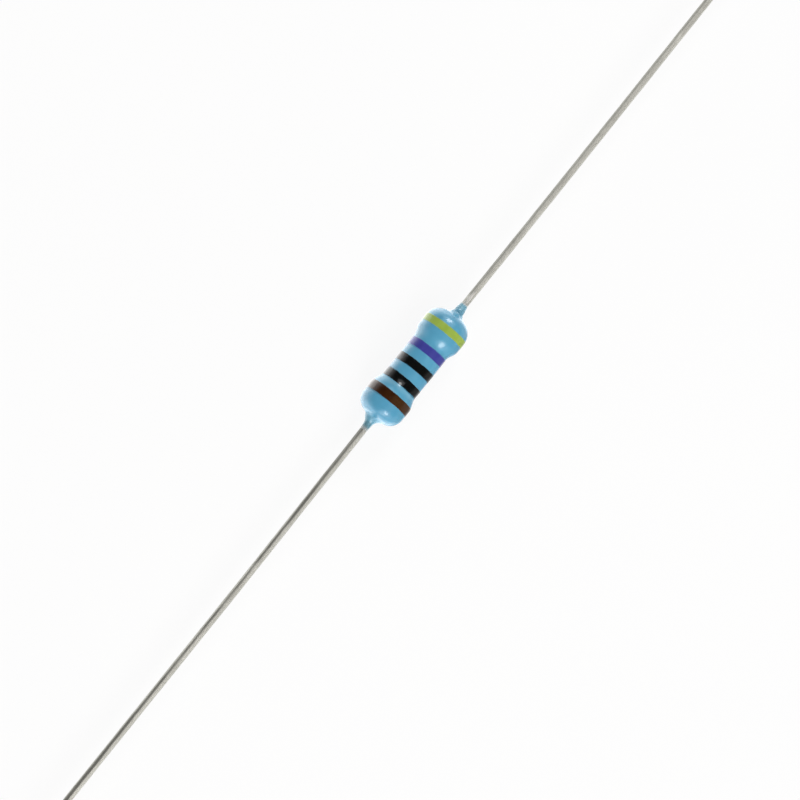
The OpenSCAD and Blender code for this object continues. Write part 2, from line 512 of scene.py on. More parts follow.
class Effects:
    """The shared effects, each a node group that is built once.

    Attributes:
        CLOUDS: Noise where a tone starts to drift and has drifted.
        RUBBED: Noise where a surface starts to be rubbed and is rubbed.
        SPECKS: Distances from a speck's middle where it starts and is full.
        SPECK_FINENESS: How much finer the specks are than the rubbing.
        LINES: Noise where a drawing line starts and is full.
        LINE_STRETCH: How fast the lines change along each axis.
        EDGE_SCALE: How fine the wander of a painted edge is, in 1/m.
        EDGE_WANDER: How far a painted edge wanders, in half widths of the ring.
        EDGE: Where paint starts to thin and is thin, in half widths of the ring.
        EDGE_BARE: Share of the lacquer that shows at the edge.
        SPOT_SCALE: How fine the thin spots of the paint are, in 1/m.
        SPOTS: Noise where a thin spot starts and is full.
        SPOT_BARE: Share of the lacquer that shows in a thin spot.
    """

    CLOUDS: Span = (0.32, 0.68)
    RUBBED: Span = (0.4, 0.75)
    SPECKS: Span = (0.16, 0.06)
    SPECK_FINENESS = 4.0
    LINES: Span = (0.35, 0.65)
    LINE_STRETCH = (0.012, 1.0, 1.0)
    EDGE_SCALE = 5200.0
    EDGE_WANDER = 0.3
    EDGE: Span = (0.98, 1.22)
    EDGE_BARE = 0.7
    SPOT_SCALE = 2300.0
    SPOTS: Span = (0.6, 0.82)
    SPOT_BARE = 0.08

    def __init__(self) -> None:
        """Build every group."""
        self.drift = self._drift()
        self.skin = self._skin()
        self.rubbing = self._rubbing()
        self.drawing = self._drawing()
        self.cover = self._cover()

    def _drift(self) -> bpy.types.NodeTree:
        """Make the slow drift between two tones of one finish.

        Returns:
            The group.
        """
        inputs = {"Tone": WHITE, "Second Tone": WHITE, "Scale": 1000.0}
        group = EffectGroup("tone_drift", inputs, {"Colour": Socket.COLOUR})
        clouds = group.noise(group.place(), group.given["Scale"], detail=3.0)
        share = group.span(clouds, self.CLOUDS)
        return group.put_out(Colour=group.blend(share, group.given["Tone"], group.given["Second Tone"]))

    def _skin(self) -> bpy.types.NodeTree:
        """Make the unevenness of a dried coat: slow peel with fine grain on it.

        Returns:
            The group.
        """
        inputs = {"Peel Scale": 3000.0, "Grain Scale": 20000.0, "Grain Share": 0.2}
        group = EffectGroup("dried_skin", inputs, {"Height": Socket.VALUE})
        place = group.place()
        peel = group.noise(place, group.given["Peel Scale"], detail=1.0)
        grain = group.noise(place, group.given["Grain Scale"], detail=2.0)
        fine = group.math("MULTIPLY", grain, group.given["Grain Share"])
        return group.put_out(Height=group.math("ADD", peel, fine))

    def _rubbing(self) -> bpy.types.NodeTree:
        """Make the dull marks of handling: cloudy rubbing and scattered specks.

        Returns:
            The group.
        """
        inputs = {"Scale": 1500.0, "Gloss Roughness": 0.2, "Rubbed Roughness": 0.35}
        group = EffectGroup("rubbing", inputs, {"Roughness": Socket.VALUE})
        place = group.place()
        clouds = group.span(group.noise(place, group.given["Scale"], detail=4.0), self.RUBBED)
        fineness = group.math("MULTIPLY", group.given["Scale"], self.SPECK_FINENESS)
        specks = group.span(group.specks(place, fineness), self.SPECKS)
        marks = group.math("MAXIMUM", clouds, specks)
        ends = (group.given["Gloss Roughness"], group.given["Rubbed Roughness"])
        return group.put_out(Roughness=group.span(marks, (0.0, 1.0), ends))

    def _drawing(self) -> bpy.types.NodeTree:
        """Make the lines that drawing through a die leaves along a wire or a cup.

        Returns:
            The group.
        """
        outputs = {"Lines": Socket.VALUE, "Height": Socket.VALUE}
        group = EffectGroup("drawn_lines", {"Scale": 30000.0}, outputs)
        lines = group.noise(group.place(self.LINE_STRETCH), group.given["Scale"], detail=3.0)
        return group.put_out(Lines=group.span(lines, self.LINES), Height=lines)

    def _cover(self) -> bpy.types.NodeTree:
        """Make the cover of a painted ring, which thins at its edges and in a few spots.

        Returns:
            The group.
        """
        inputs = {"Paint": WHITE, "Under": LACQUER_BLUE, "Middle": 0.0, "Half Width": 0.2 * MM}
        group = EffectGroup("paint_cover", inputs, {"Colour": Socket.COLOUR})
        off = group.math("ABSOLUTE", group.math("SUBTRACT", group.along(), group.given["Middle"]))
        off = group.math("DIVIDE", off, group.given["Half Width"])
        place = group.place()
        wander = group.noise(place, self.EDGE_SCALE, detail=3.0)
        off = group.math("ADD", off, group.math("MULTIPLY", wander, self.EDGE_WANDER))
        edge = group.math("MULTIPLY", group.span(off, self.EDGE), self.EDGE_BARE)
        spots = group.span(group.noise(place, self.SPOT_SCALE, detail=4.0), self.SPOTS)
        bare = group.math("MAXIMUM", edge, group.math("MULTIPLY", spots, self.SPOT_BARE))
        return group.put_out(Colour=group.blend(bare, group.given["Paint"], group.given["Under"]))


@dataclass(frozen=True)
class Grain:
    """Unevenness of a dried or fired skin.

    Attributes:
        peel: How fine its slow waves are, in 1/m.
        grain: How fine its grain is, in 1/m.
        share: Height of the grain for waves of height 1.
        rise: Height of the waves.
    """

    peel: float
    grain: float
    share: float
    rise: float

    def height(self, tree: ShaderTree, effects: Effects) -> bpy.types.NodeSocket:
        """Give the height over the surface, where 1 stands for the rise."""
        scales = {"Peel_Scale": self.peel, "Grain_Scale": self.grain}
        return tree.use(effects.skin, **scales, Grain_Share=self.share)["Height"]


@dataclass(frozen=True, kw_only=True)
class Finish:
    """What every finish of the part has.

    Attributes:
        name: Name of the material.
        tone: Its colour.
        second_tone: The colour that it drifts to.
        drift_scale: How fine the drift is, in 1/m.
        gloss: Roughness where it is not rubbed.
        rubbed: Roughness where it is rubbed.
        rub_scale: How fine the rubbing is, in 1/m.
    """

    name: str
    tone: Colour
    second_tone: Colour
    drift_scale: float
    gloss: float
    rubbed: float
    rub_scale: float

    def drifting(self, tree: ShaderTree, effects: Effects) -> bpy.types.NodeSocket:
        """Give the finish's colour with its drift of tone."""
        tones = {"Tone": self.tone, "Second_Tone": self.second_tone}
        return tree.use(effects.drift, **tones, Scale=self.drift_scale)["Colour"]

    def rubbing(self, tree: ShaderTree, effects: Effects) -> bpy.types.NodeSocket:
        """Give the finish's roughness with its rubbing."""
        ends = {"Gloss_Roughness": self.gloss, "Rubbed_Roughness": self.rubbed}
        return tree.use(effects.rubbing, **ends, Scale=self.rub_scale)["Roughness"]


@dataclass(frozen=True, kw_only=True)
class LacquerFinish(Finish):
    """Dipped gloss lacquer, which shows the wire through where it runs out.

    Attributes:
        thin_coat_and_painted_light_tones: Its colour where it is thin, over the left wire and over the right
            one. The left one is lighter as a painted reflection and the right one darker as painted shade.
        thin: Distances from either end where it starts to thin and where it is thin.
        thin_dull: How much rougher it is where it is thin.
        bare_tone: Its colour where it runs out.
        bare: Distance from the left end and from the right one where it starts to run out.
        ragged: Shares of that distance between which it runs out.
        ragged_scale: How fine the wander of its end is, in 1/m.
        ragged_wander: How far its end wanders, in shares of that distance.
        painted_sheen_tone: Its paler colour in a band over the edge of the right cap, a painted sheen.
        painted_sheen_place: Where that edge and the painted sheen are along X.
        painted_sheen_half: Half the width of the painted sheen.
        skin: Unevenness of the lacquer.
        calm: Share of the unevenness where it is thin and elsewhere.
        ior: Its refractive index.
    """

    thin_coat_and_painted_light_tones: tuple[Colour, Colour]
    thin: Span
    thin_dull: float
    bare_tone: Colour
    bare: Span
    ragged: Span = (1.0, 0.2)
    ragged_scale: float = 2500.0
    ragged_wander: float = 0.25
    painted_sheen_tone: Colour
    painted_sheen_place: float
    painted_sheen_half: float
    skin: Grain
    calm: Span = (0.15, 1.0)
    ior: float = 1.5

    def material(self, effects: Effects, reach: Span) -> bpy.types.Material:
        """Make the material.

        Args:
            effects: The shared effects.
            reach: Where the lacquer starts and stops along X.

        Returns:
            The material.
        """
        tree = MaterialTree(self.name)
        left, right = reach
        off = tree.math("ABSOLUTE", tree.math("SUBTRACT", tree.along(), 0.5 * (left + right)))
        inwards = tree.math("SUBTRACT", 0.5 * (right - left), off)
        run_out = tree.math("DIVIDE", inwards, tree.span(tree.along(), reach, self.bare))
        wander = tree.noise(tree.place(), self.ragged_scale, detail=1.0)
        run_out = tree.math("ADD", run_out, tree.math("MULTIPLY", wander, self.ragged_wander))
        thin = tree.span(inwards, self.thin)
        # Thin lacquer over the wire, lighter on the left neck as a painted reflection and darker on the right
        # neck as painted shade.
        thin_coat_and_painted_light_tone = tree.blend(tree.span(tree.along(), reach), *self.thin_coat_and_painted_light_tones)
        # Painted sheen: a paler band all round the right shoulder.
        rim = tree.band(tree.along(), self.painted_sheen_place, self.painted_sheen_half)
        colour = tree.blend(rim, self.drifting(tree, effects), self.painted_sheen_tone)
        colour = tree.blend(thin, colour, thin_coat_and_painted_light_tone)
        colour = tree.blend(tree.span(run_out, self.ragged), colour, self.bare_tone)
        dull = tree.math("MULTIPLY", thin, self.thin_dull)
        calm = tree.span(inwards, self.thin[::-1], self.calm)
        height = tree.math("MULTIPLY", self.skin.height(tree, effects), calm)
        return tree.surface(
            Base_Color=colour,
            Roughness=tree.math("ADD", self.rubbing(tree, effects), dull),
            Normal=tree.bump(height, self.skin.rise),
            IOR=self.ior,
        )


@dataclass(frozen=True, kw_only=True)
class PaintFinish(Finish):
    """Ring paint, rolled on and not quite even.

    Attributes:
        under: Colour of the lacquer that shows through thin paint.
        thin_coat_and_painted_light_tone: Its lighter colour on the +Y side, which is painted light for the
            brighter lighting on that side.
        painted_light_y: Where along Y that painted light starts and where it is full.
        skin: Unevenness of the paint.
        ior: Its refractive index.
    """

    under: Colour = LACQUER_BLUE
    thin_coat_and_painted_light_tone: Colour
    painted_light_y: Span = (0.1 * MM, 0.3 * MM)
    skin: Grain = Grain(4200.0, 21000.0, 0.3, 5.0 * MICRON)
    ior: float = 1.4

    def material(self, effects: Effects, middle: float, half_width: float) -> bpy.types.Material:
        """Make the material of one ring.

        Args:
            effects: The shared effects.
            middle: Where the middle of the ring is along X.
            half_width: Half the width of the ring.

        Returns:
            The material.
        """
        tree = MaterialTree(self.name)
        # Painted light: the +Y side of the ring gets the lighter tone.
        thin = tree.span(tree.along("Y"), self.painted_light_y)
        paint = tree.blend(thin, self.drifting(tree, effects), self.thin_coat_and_painted_light_tone)
        cover = tree.use(effects.cover, Paint=paint, Under=self.under, Middle=middle, Half_Width=half_width)
        return tree.surface(
            Base_Color=cover["Colour"],
            Roughness=self.rubbing(tree, effects),
            Normal=tree.bump(self.skin.height(tree, effects), self.skin.rise),
            IOR=self.ior,
        )


@dataclass(frozen=True, kw_only=True)
class MetalFinish(Finish):
    """Drawn or plated metal.

    Attributes:
        line_scale: How fine the drawing lines are, in 1/m.
        line_depth: How deep they are.
        line_share: Share of the second tone in a line.
        metallic: Share of it that is bright metal.
        rub_scale: How fine the rubbing is, in 1/m.
    """

    line_scale: float
    line_depth: float
    line_share: float = 0.3
    metallic: float = 1.0
    rub_scale: float = 1800.0

    def material(self, effects: Effects) -> bpy.types.Material:
        """Make the material.

        Args:
            effects: The shared effects.

        Returns:
            The material.
        """
        tree = MaterialTree(self.name)
        lines = tree.use(effects.drawing, Scale=self.line_scale)
        share = tree.math("MULTIPLY", lines["Lines"], self.line_share)
        colour = tree.blend(share, self.drifting(tree, effects), self.second_tone)
        return tree.surface(
            Base_Color=self.add_painted_light(tree, colour),
            Roughness=self.rubbing(tree, effects),
            Normal=tree.bump(lines["Height"], self.line_depth),
            Metallic=self.metallic,
        )

    def add_painted_light(self, tree: ShaderTree, colour: bpy.types.NodeSocket) -> bpy.types.NodeSocket:
        """Give the colour as it is: metal under the lacquer gets no painted light or shade."""
        return colour


@dataclass(frozen=True)
class Tarnish:
    """The tarnished streak along one wire, and its clean tin near the lacquer.

    Attributes:
        strengths: Strength of the streak near the body and further out.
        angles: Its place round the wire, from +Z towards -Y, near the body and further out.
        start: Distance from the middle of the part where it starts.
        painted_highlight_place: Distance of the painted highlight from the middle of the part, or 0 for none.
    """

    strengths: Span
    angles: Span
    start: float
    painted_highlight_place: float


@dataclass(frozen=True, kw_only=True)
class WireFinish(MetalFinish):
    """Dull tinned wire with a painted shade streak along it, painted shade on its flanks and a painted
    highlight on top.

    Attributes:
        radius: Radius of the wire.
        tarnish: The painted shade streak and the painted highlight of this wire.
        tarnish_tone: Colour of the painted shade.
        streak_turn: Where the streak leaves its first place and where it reaches the second.
        streak_rise: Length over which it starts.
        streak_edges: How far its surface faces the streak's middle where it starts and is full.
        wander_stretch: How fast the wander of the streak changes along each axis.
        wander_scale: How fine the wander is, in 1/m.
        wander: How far the streak wanders.
        flank: Strength of the painted shade on both flanks of the wire.
        flank_edges: How far the surface faces up where that painted shade starts and is full.
        painted_highlight_tone: Colour of the painted highlight on top of the wire.
        painted_highlight_half: Half its length.
        painted_highlight_edges: How far the surface faces up where the painted highlight starts and is full.
    """

    radius: float
    tarnish: Tarnish
    tarnish_tone: Colour
    streak_turn: Span = (4.5 * MM, 9.0 * MM)
    streak_rise: float = 0.2 * MM
    streak_edges: Span = (0.86, 1.04)
    wander_stretch: tuple[float, float, float] = (0.15, 1.0, 1.0)
    wander_scale: float = 5000.0
    wander: float = 0.12
    flank: float = 0.3
    flank_edges: Span = (0.85, 0.3)
    painted_highlight_tone: Colour
    painted_highlight_half: float = 0.5 * MM
    painted_highlight_edges: Span = (0.8, 1.0)

    def add_painted_light(self, tree: ShaderTree, colour: bpy.types.NodeSocket) -> bpy.types.NodeSocket:
        """Give the colour with a painted highlight on top, a painted shade streak and painted shade on both
        flanks.

        Args:
            tree: The material's tree.
            colour: Colour of the drawn wire.

        Returns:
            The colour with its painted light and shade.
        """
        out = tree.math("ABSOLUTE", tree.along())
        upward = self._towards(tree, 0.0)
        # Painted highlight: a near-white patch on the upward faces of the wire near the lacquer.
        painted_highlight = tree.band(out, self.tarnish.painted_highlight_place, self.painted_highlight_half)
        painted_highlight = tree.math("MULTIPLY", painted_highlight, tree.span(upward, self.painted_highlight_edges))
        colour = tree.blend(painted_highlight, colour, self.painted_highlight_tone)
        # Painted shade: a dark streak along the upper -Y side of the wire, and dark flanks.
        first, second = (self._towards(tree, angle) for angle in self.tarnish.angles)
        wander = tree.noise(tree.place(self.wander_stretch), self.wander_scale, detail=2.0)
        near = tree.span(out, self.streak_turn, (first, second))
        near = tree.math("ADD", near, tree.math("MULTIPLY", wander, self.wander))
        begun = tree.span(out, (self.tarnish.start, self.tarnish.start + self.streak_rise))
        begun = tree.math("MULTIPLY", begun, tree.span(out, self.streak_turn, self.tarnish.strengths))
        streak = tree.math("MULTIPLY", tree.span(near, self.streak_edges), begun)
        colour = tree.blend(streak, colour, self.tarnish_tone)
        return tree.blend(tree.span(upward, self.flank_edges, (0.0, self.flank)), colour, self.tarnish_tone)

    def _towards(self, tree: ShaderTree, angle: float) -> bpy.types.NodeSocket:
        """Give how far the wire's surface faces an angle from +Z towards -Y, up to 1."""
        spoke = (0.0, -math.sin(angle) / self.radius, math.cos(angle) / self.radius)
        return tree.run("ShaderNodeVectorMath", {0: tree.place(), 1: spoke}, "Value", operation="DOT_PRODUCT")


@dataclass(frozen=True, kw_only=True)
class MattFinish(Finish):
    """Matt surface with a fine grain, such as fired ceramic or card.

    Attributes:
        skin: Its grain.
        rub_scale: How fine the rubbing is, in 1/m.
    """

    skin: Grain = Grain(6000.0, 40000.0, 0.8, 4.0 * MICRON)
    rub_scale: float = 2400.0

    def material(self, effects: Effects) -> bpy.types.Material:
        """Make the material.

        Args:
            effects: The shared effects.

        Returns:
            The material.
        """
        tree = MaterialTree(self.name)
        return tree.surface(
            Base_Color=self.drifting(tree, effects),
            Roughness=self.rubbing(tree, effects),
            Normal=tree.bump(self.skin.height(tree, effects), self.skin.rise),
        )


@dataclass(frozen=True, kw_only=True)
class FloorFinish(Finish):
    """Matt white paper, seen white and still darkened by a shadow.

    Attributes:
        glow: Share of its white that no shadow takes away.
    """

    glow: float

    def material(self, effects: Effects) -> bpy.types.Material:
        """Make the material.

        Args:
            effects: The shared effects.

        Returns:
            The material.
        """
        tree = MaterialTree(self.name)
        paper = tree.shader.outputs[0]
        seen = tree.mix_shaders(self.glow, paper, tree.add("ShaderNodeEmission").outputs[0])
        path = tree.add("ShaderNodeLightPath").outputs
        looked_at = tree.math("MAXIMUM", path["Is Camera Ray"], path["Is Glossy Ray"])
        looked_at = tree.math("MAXIMUM", looked_at, path["Is Transmission Ray"])
        output = tree.tree.nodes["Material Output"]
        tree.feed(output.inputs["Surface"], tree.mix_shaders(looked_at, paper, seen))
        return tree.surface(
            Base_Color=self.drifting(tree, effects),
            Roughness=self.rubbing(tree, effects),
            Specular_IOR_Level=0.0,
        )


@dataclass
class LacquerCoat:
    """The dipped lacquer over the film, the caps and the foot of each lead.

    Attributes:
        node: CAD node that it replaces.
        slot: Material slot of the record; not used.
        sides: Corners round the axis.
        step: Spacing of the rows along the axis.
        merge: Spacing below which two rows become one.
        hang: How far the lacquer hangs to +Y in the middle of the body.
        hang_slope: How much more it hangs for each metre towards the left end.
        grip: Length of each end over which the hanging dies out.
        right_set: How far the right neck stands to +Y.
        feather: Distances from each end between which the lacquer gets its full thickness.
        swellings: The flare at the foot of each neck, and the dips and swellings of the waist.
        drips: The hollow and the drop on the left neck, and the drop at the foot of the right shoulder.
        ripples: Slow unevenness of the coat.
        finish: The lacquer.
    """

    node: str = "lacquer_coat"
    slot: str = "blue_lacquer"
    sides: int = 160
    step: float = 0.022 * MM
    merge: float = 0.0066 * MM
    hang: float = -0.014 * MM
    hang_slope: float = 0.0075
    grip: float = 0.9 * MM
    right_set: float = -0.035 * MM
    feather: Span = (-0.036 * MM, 0.12 * MM)
    swellings: tuple[Swelling, ...] = (
        Swelling(-3.22 * MM, 0.12 * MM, 0.02 * MM, 0.02 * MM),
        Swelling(-3.6 * MM, 0.25 * MM, 0.024 * MM),
        Swelling(-1.0 * MM, 0.4 * MM, -0.008 * MM, -0.008 * MM),
        Swelling(0.35 * MM, 0.3 * MM, 0.004 * MM, 0.008 * MM),
        Swelling(1.27 * MM, 0.12 * MM, -0.006 * MM),
        Swelling(3.42 * MM, 0.14 * MM, 0.018 * MM, -0.03 * MM),
        Swelling(3.7 * MM, 0.16 * MM, -0.004 * MM, -0.004 * MM),
    )
    drips: tuple[Drip, ...] = (
        Drip(-3.36 * MM, math.radians(90.0), -0.028 * MM, 0.06 * MM, 0.16 * MM),
        Drip(-3.53 * MM, math.radians(90.0), 0.034 * MM, 0.075 * MM, 0.1 * MM),
        Drip(1.365 * MM, math.radians(83.0), 0.12 * MM, 0.22 * MM, 0.34 * MM),
    )
    ripples: tuple[Ripple, ...] = (
        Ripple(0.006 * MM, 1, 5.3 * MM, 0.4),
        Ripple(0.004 * MM, 2, 2.1 * MM, 2.0),
        Ripple(0.003 * MM, 3, -1.4 * MM, 4.1),
        Ripple(0.0025 * MM, 0, 0.9 * MM, 1.2),
    )
    finish: LacquerFinish = LacquerFinish(
        name="blue_lacquer",
        tone=LACQUER_BLUE,
        second_tone=(0.084, 0.315, 0.488),
        drift_scale=700.0,
        gloss=0.21,
        rubbed=0.25,
        rub_scale=900.0,
        # Thin lacquer tones: the left one lighter as a painted reflection, the right one darker as painted
        # shade.
        thin_coat_and_painted_light_tones=((0.18, 0.385, 0.49), (0.14, 0.29, 0.35)),
        thin=(1.0 * MM, 0.15 * MM),
        thin_dull=0.1,
        bare_tone=(0.42, 0.44, 0.43),
        bare=(0.16 * MM, 0.3 * MM),
        # Painted sheen on the right shoulder.
        painted_sheen_tone=(0.145, 0.385, 0.538),
        painted_sheen_place=1.39 * MM,
        painted_sheen_half=0.22 * MM,
        skin=Grain(2600.0, 16000.0, 0.08, 3.0 * MICRON),
    )

    def __post_init__(self) -> None:
        """Read the CAD outlines that the coat follows."""
        self.outside = Outline.of_node(self.node)
        self.start = float(self.outside.xs[0])
        self.stop = float(self.outside.xs[-1])
        self.left_wire = float(Outline.of_node("left_lead").radius(self.start))
        self.right_wire = float(Outline.of_node("right_lead").radius(self.stop))

    def skin(self, x: np.ndarray, angle: np.ndarray, lift: np.ndarray | float = 0.0) -> np.ndarray:
        """Give points on the outside of the lacquer.

        Args:
            x: Places along the axis.
            angle: Places round the axis.
            lift: Height above the lacquer.

        Returns:
            The points, with a last axis of three coordinates.
        """
        radius = self.outside.radius(x)
        free = smooth_step(x - self.start, 0.0, self.grip) * smooth_step(self.stop - x, 0.0, self.grip)
        for ripple in self.ripples:
            radius = radius + free * ripple.at(x, angle)
        sideways = free * (self.hang - self.hang_slope * x) + self.right_set * neck_share(x)
        for swelling in self.swellings:
            radius = radius + swelling.rise * swelling.share(x)
            sideways = sideways + swelling.lean * swelling.share(x)
        for drip in self.drips:
            radius = radius + drip.at(x, angle, radius)
        wire = np.where(x < 0.0, self.left_wire, self.right_wire)
        thick = smooth_step(np.minimum(x - self.start, self.stop - x), *self.feather)
        return turned(x, wire + (radius - wire) * thick + lift, angle, sideways)

    def _inside(self) -> np.ndarray:
        """Give the outline of what the lacquer covers, from right to left.

        Returns:
            Points of x and radius.
        """
        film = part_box("resistive_film")[1].y
        points: list[tuple[float, float]] = []
        for end, limit in ((End.RIGHT, self.stop), (End.LEFT, self.start)):
            cap = Outline.of_node(f"{end.value}_end_cap")
            lead = Outline.of_node(f"{end.value}_lead")
            foot = [(x, r) for x, r in zip(lead.xs, lead.radii) if abs(x) < abs(limit) - MICRON]
            half = [(limit, float(lead.radius(limit)))]
            half += sorted(foot, key=lambda p: -abs(p[0]))
            half += sorted(zip(cap.xs, cap.radii), key=lambda p: -abs(p[0]))
            half += [(min(cap.xs, key=abs), film)]
            points += half if end is End.RIGHT else half[::-1]
        return np.array(points)

    def build(self) -> bpy.types.Object:
        """Make the closed coat.

        Returns:
            The new piece.
        """
        angle = spin(self.sides)[None, :]
        count = int(round((self.stop - self.start) / self.step))
        x = np.unique(np.concatenate([np.linspace(self.start, self.stop, count), self.outside.xs]))
        keep = np.concatenate([[True], np.diff(x) > self.merge])
        x = np.append(x[keep][:-1], self.stop)[:, None]
        depth, radius = np.split(self._inside()[1:-1], 2, axis=1)
        inner = turned(depth, radius, angle, self.right_set * neck_share(depth))
        return skin_grid("lacquer", np.concatenate([self.skin(x, angle), inner]), closed=True)

    def dress(self, piece: bpy.types.Object, effects: Effects) -> None:
        """Give the coat its lacquer and put it in place of its CAD node."""
        hand_over(piece, self.node, self.finish.material(effects, (self.start, self.stop)))


@dataclass(frozen=True)
class PaintTones:
    """The colours of one paint.

    Attributes:
        laid: Its colour.
        drifted: The colour that it drifts to.
        thin: Its lighter colour on the +Y side, which is painted light.
    """

    laid: Colour
    drifted: Colour
    thin: Colour


class Paint(Enum):
    """The paints of the rings."""

    # The third tone of each paint is lighter: painted light for the +Y side.
    YELLOW = PaintTones((0.272, 0.4, 0.056), (0.315, 0.44, 0.072), (0.3, 0.425, 0.064))
    VIOLET = PaintTones((0.042, 0.044, 0.262), (0.052, 0.056, 0.31), (0.047, 0.05, 0.286))
    BLACK = PaintTones((0.0012, 0.0016, 0.0014), (0.0026, 0.0032, 0.003), (0.0019, 0.0024, 0.0022))
    BROWN = PaintTones((0.027, 0.0068, 0.0005), (0.039, 0.0115, 0.0014), (0.052, 0.0203, 0.0053))

    @property
    def slot(self) -> str:
        """Material slot of the record."""
        return f"{self.name.lower()}_paint"

    def finish(self, ring: str) -> PaintFinish:
        """Give the paint's finish.

        Args:
            ring: The ring that it is named for.

        Returns:
            The finish.
        """
        return PaintFinish(
            name=f"{self.slot}_{ring}", tone=self.value.laid, second_tone=self.value.drifted,
            thin_coat_and_painted_light_tone=self.value.thin, drift_scale=1500.0, gloss=0.19, rubbed=0.25, rub_scale=1400.0,
        )


@dataclass
class PaintedRing:
    """One painted ring on the lacquer.

    Attributes:
        node: CAD node that it replaces.
        paint: Its paint.
        slant: How far the ring leans along X from its -Y side to its +Y side.
        fan: How much further to +X the paint runs on the -Y side.
        seed: Phase of its uneven edges, in radians.
        pinch: How far each edge draws in on the +Y side.
        waver: Height of the slowest wave of its edges.
        waves: Turns, height against the slowest and share of the seed of each wave.
        edge_phase: How much further on the waver of the right edge is, in radians.
        proud: Share of the paint's thickness that stands out of the lacquer.
        bed: How deep the ring sits in the lacquer.
        sink: How deep its outer edges dip into the lacquer.
        rim_power: How square its section is.
        crowding: How evenly its rows are spread; a small number crowds them at the edges.
        sides: Corners round the axis.
        rows: Rows across the paint.
    """

    node: str
    paint: Paint
    slant: float
    fan: float
    seed: float
    pinch: float = 0.0
    waver: float = 0.0075 * MM
    waves: tuple[tuple[int, float, float], ...] = (
        (2, 1.0, 1.0), (5, 0.7, 2.3), (9, 0.45, -1.7), (17, 0.3, 3.1)
    )
    edge_phase: float = 2.0
    proud: float = 0.4
    bed: float = 0.012 * MM
    sink: float = 0.0024 * MM
    rim_power: int = 7
    crowding: float = 9.0
    sides: int = 160
    rows: int = 26

    def __post_init__(self) -> None:
        """Read the ring's edges from its CAD node."""
        lo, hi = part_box(self.node)
        self.left, self.right = lo.x, hi.x

    def _edge(self, place: float, angle: np.ndarray, seed: float) -> np.ndarray:
        """Give the places of an uneven edge round the axis."""
        waver = sum(height * np.cos(turns * angle + share * seed) for turns, height, share in self.waves)
        return place + self.waver * waver + 0.5 * self.slant * np.cos(angle)

    def _thickness(self, coat: LacquerCoat) -> float:
        """Give how far the paint stands out, from the CAD ring over the CAD lacquer."""
        middle = 0.5 * (self.left + self.right)
        return self.proud * float(Outline.of_node(self.node).radius(middle) - coat.outside.radius(middle))

    def build(self, coat: LacquerCoat) -> bpy.types.Object:
        """Make the ring on the coat.

        Args:
            coat: The lacquer that the ring follows.

        Returns:
            The new piece.
        """
        angle = spin(self.sides)[None, :]
        share = np.linspace(0.0, 1.0, self.rows)[:, None]
        pinch = self.pinch * np.clip(np.cos(angle), 0.0, 1.0)
        fan = self.fan * np.clip(-np.cos(angle), 0.0, 1.0)
        left = self._edge(self.left, angle, self.seed) + pinch
        right = self._edge(self.right, angle, self.seed + self.edge_phase) + fan - pinch
        x = left + (right - left) * (share - np.sin(math.tau * share) / self.crowding)
        rim = np.clip(1.0 - np.abs(2.0 * share - 1.0) ** self.rim_power, 0.0, 1.0) ** 0.5
        outer = coat.skin(x, angle, self._thickness(coat) * rim - self.sink * (1.0 - rim))
        inner = coat.skin(x[1:-1][::-1], angle, -self.bed)
        return skin_grid(self.node.replace("_band", "_ring"), np.concatenate([outer, inner]), closed=True)

    def dress(self, piece: bpy.types.Object, effects: Effects) -> None:
        """Give the ring its paint and put it in place of its CAD node.

        Args:
            piece: The ring.
            effects: The shared effects.
        """
        finish = self.paint.finish(self.node.replace("_band", ""))
        middle, half_width = 0.5 * (self.left + self.right), 0.5 * (self.right - self.left)
        hand_over(piece, self.node, finish.material(effects, middle, half_width))


